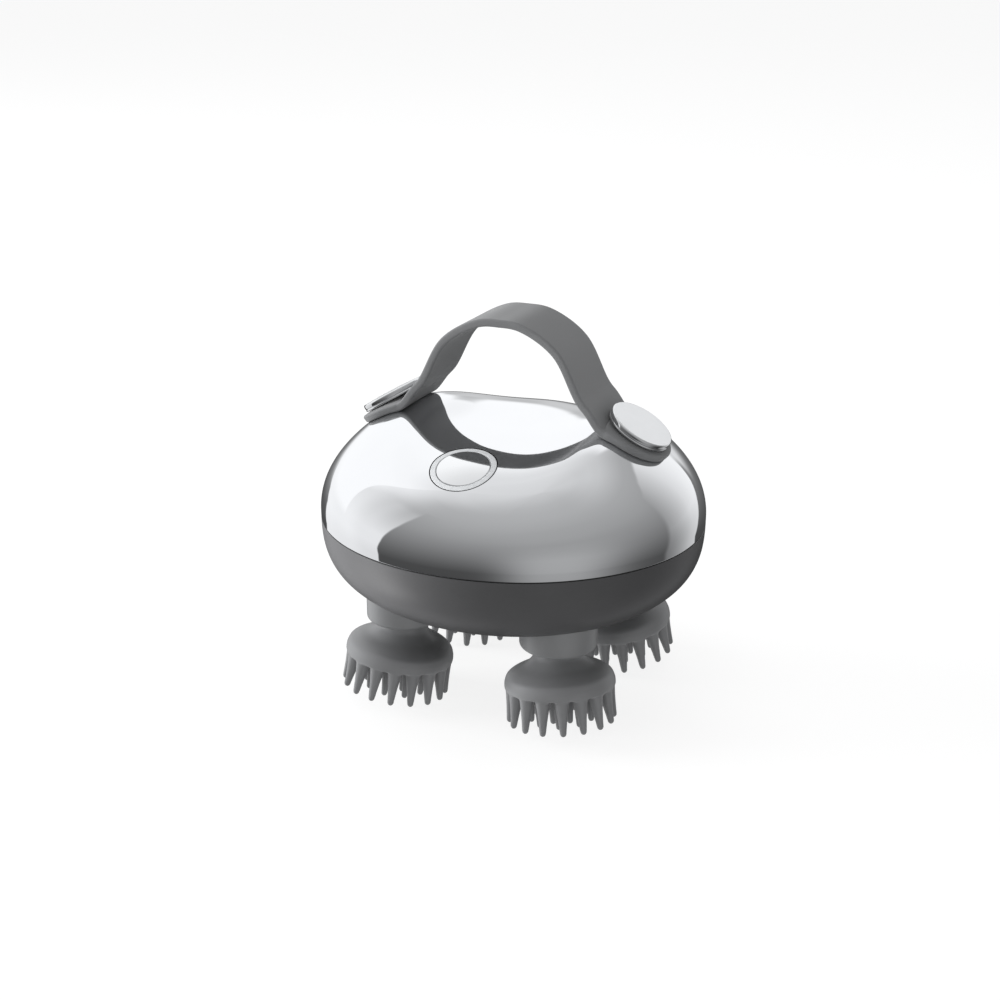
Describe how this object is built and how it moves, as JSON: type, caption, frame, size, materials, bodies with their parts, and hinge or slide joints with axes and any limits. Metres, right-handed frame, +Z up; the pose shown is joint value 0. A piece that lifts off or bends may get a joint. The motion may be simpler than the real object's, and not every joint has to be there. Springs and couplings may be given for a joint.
{
  "type": "electric scalp massager",
  "caption": "Palm-held scalp massager: domed mirror cover on a dark housing, splayed silicone bristle heads geared to turn below, top strap and a front power button.",
  "frame": {"origin": "on the surface it stands on, under the middle of the body", "axes": "+Z up; +X to the right along the strap, seen from the power button side; -Y towards the power button"},
  "size_m": [0.118, 0.112, 0.1175],
  "materials": {
    "chrome_skin": "mirror-bright plated cover",
    "housing_plastic": "charcoal moulded plastic, soft satin",
    "strap_silicone": "mid-grey silicone, soft matte",
    "head_silicone": "mid-grey silicone, soft matte",
    "collar_plastic": "grey moulded sleeve, satin",
    "cap_metal": "spun satin top with polished rim",
    "button_metal": "mirror-bright plated",
    "frosted_ring": "frosted light guide",
    "black_rubber": "black sealing rubber",
    "grey_rubber": "charcoal rubber plug",
    "steel": "machined",
    "screw_steel": "zinc plated",
    "white_acetal": "natural moulded gear plastic",
    "black_plastic": "moulded",
    "motor_steel": "drawn can",
    "cell_wrap": "shrink sleeve, plain",
    "board_green": "solder mask",
    "switch_black": "moulded",
    "contact_gold": "plated contact",
    "bronze": "sintered bush",
    "core_plastic": "hard moulded core"
  },
  "bodies": {
    "housing": {"upper_cover": "chrome_skin", "lower_housing": "housing_plastic", "seam_gasket": "black_rubber", "gearbox_plate": "black_plastic", "plate_screws": "screw_steel", "cover_screws": "screw_steel", "screw_plugs": "grey_rubber", "motor_can": "motor_steel", "motor_gearbox": "motor_steel", "motor_end_cap": "black_plastic", "motor_screws": "screw_steel", "battery_cell": "cell_wrap", "battery_cradle": "black_plastic", "circuit_board": "board_green", "board_screws": "screw_steel", "tact_switch": "switch_black", "charge_contacts": "contact_gold", "contact_seats": "black_plastic", "light_ring": "frosted_ring", "button_seal": "black_rubber", "carry_strap": "strap_silicone", "strap_cap_left": "cap_metal", "strap_cap_right": "cap_metal", "strap_washers": "black_rubber", "strap_nuts": "screw_steel", "lower_bearings": "steel", "shaft_seals": "black_rubber", "upper_bushes": "bronze", "drive_bush": "bronze", "collar_fl": "collar_plastic", "collar_fr": "collar_plastic", "collar_bl": "collar_plastic", "collar_br": "collar_plastic"},
    "drive": {"output_shaft": "steel", "drive_gear": "white_acetal", "gear_clip": "screw_steel"},
    "button": {"power_button": "button_metal", "button_plunger": "white_acetal"},
    "rotor_fl": {"crank_shaft_fl": "steel", "output_gear_fl": "white_acetal"},
    "head_fl": {"massage_head_fl": "head_silicone", "head_core_fl": "core_plastic"},
    "rotor_fr": {"crank_shaft_fr": "steel", "output_gear_fr": "white_acetal"},
    "head_fr": {"massage_head_fr": "head_silicone", "head_core_fr": "core_plastic"},
    "rotor_bl": {"crank_shaft_bl": "steel", "output_gear_bl": "white_acetal"},
    "head_bl": {"massage_head_bl": "head_silicone", "head_core_bl": "core_plastic"},
    "rotor_br": {"crank_shaft_br": "steel", "output_gear_br": "white_acetal"},
    "head_br": {"massage_head_br": "head_silicone", "head_core_br": "core_plastic"}
  },
  "joints": [
    {"name": "drive_spin", "type": "hinge", "parent": "housing", "child": "drive", "pos_m": [0, 0, 0.04], "axis": [0, 0, 1], "continuous": true},
    {"name": "head_spin_fl", "type": "hinge", "parent": "housing", "child": "rotor_fl", "pos_m": [-0.0252, -0.02429, 0.04], "axis": [0, 0, 1], "continuous": true},
    {"name": "head_pull_fl", "type": "slide", "parent": "rotor_fl", "child": "head_fl", "axis": [-0.1126, -0.1086, -0.9877], "range_m": [0, 0.01]},
    {"name": "head_spin_fr", "type": "hinge", "parent": "housing", "child": "rotor_fr", "pos_m": [0.0252, -0.02429, 0.04], "axis": [0, 0, 1], "continuous": true},
    {"name": "head_pull_fr", "type": "slide", "parent": "rotor_fr", "child": "head_fr", "axis": [0.1126, -0.1086, -0.9877], "range_m": [0, 0.01]},
    {"name": "head_spin_bl", "type": "hinge", "parent": "housing", "child": "rotor_bl", "pos_m": [-0.0252, 0.02429, 0.04], "axis": [0, 0, 1], "continuous": true},
    {"name": "head_pull_bl", "type": "slide", "parent": "rotor_bl", "child": "head_bl", "axis": [-0.1126, 0.1086, -0.9877], "range_m": [0, 0.01]},
    {"name": "head_spin_br", "type": "hinge", "parent": "housing", "child": "rotor_br", "pos_m": [0.0252, 0.02429, 0.04], "axis": [0, 0, 1], "continuous": true},
    {"name": "head_pull_br", "type": "slide", "parent": "rotor_br", "child": "head_br", "axis": [0.1126, 0.1086, -0.9877], "range_m": [0, 0.01]},
    {"name": "button_press", "type": "slide", "parent": "housing", "child": "button", "axis": [0, 0.3485, -0.9373], "range_m": [0, 0.0008], "stiffness_N_per_m": 1500, "springref_m": -0.0003}
  ],
  "couplings": [
    {"joint": "head_spin_fl", "follows": "drive_spin", "ratio": -2.5},
    {"joint": "head_spin_fr", "follows": "drive_spin", "ratio": -2.5},
    {"joint": "head_spin_bl", "follows": "drive_spin", "ratio": -2.5},
    {"joint": "head_spin_br", "follows": "drive_spin", "ratio": -2.5}
  ]
}
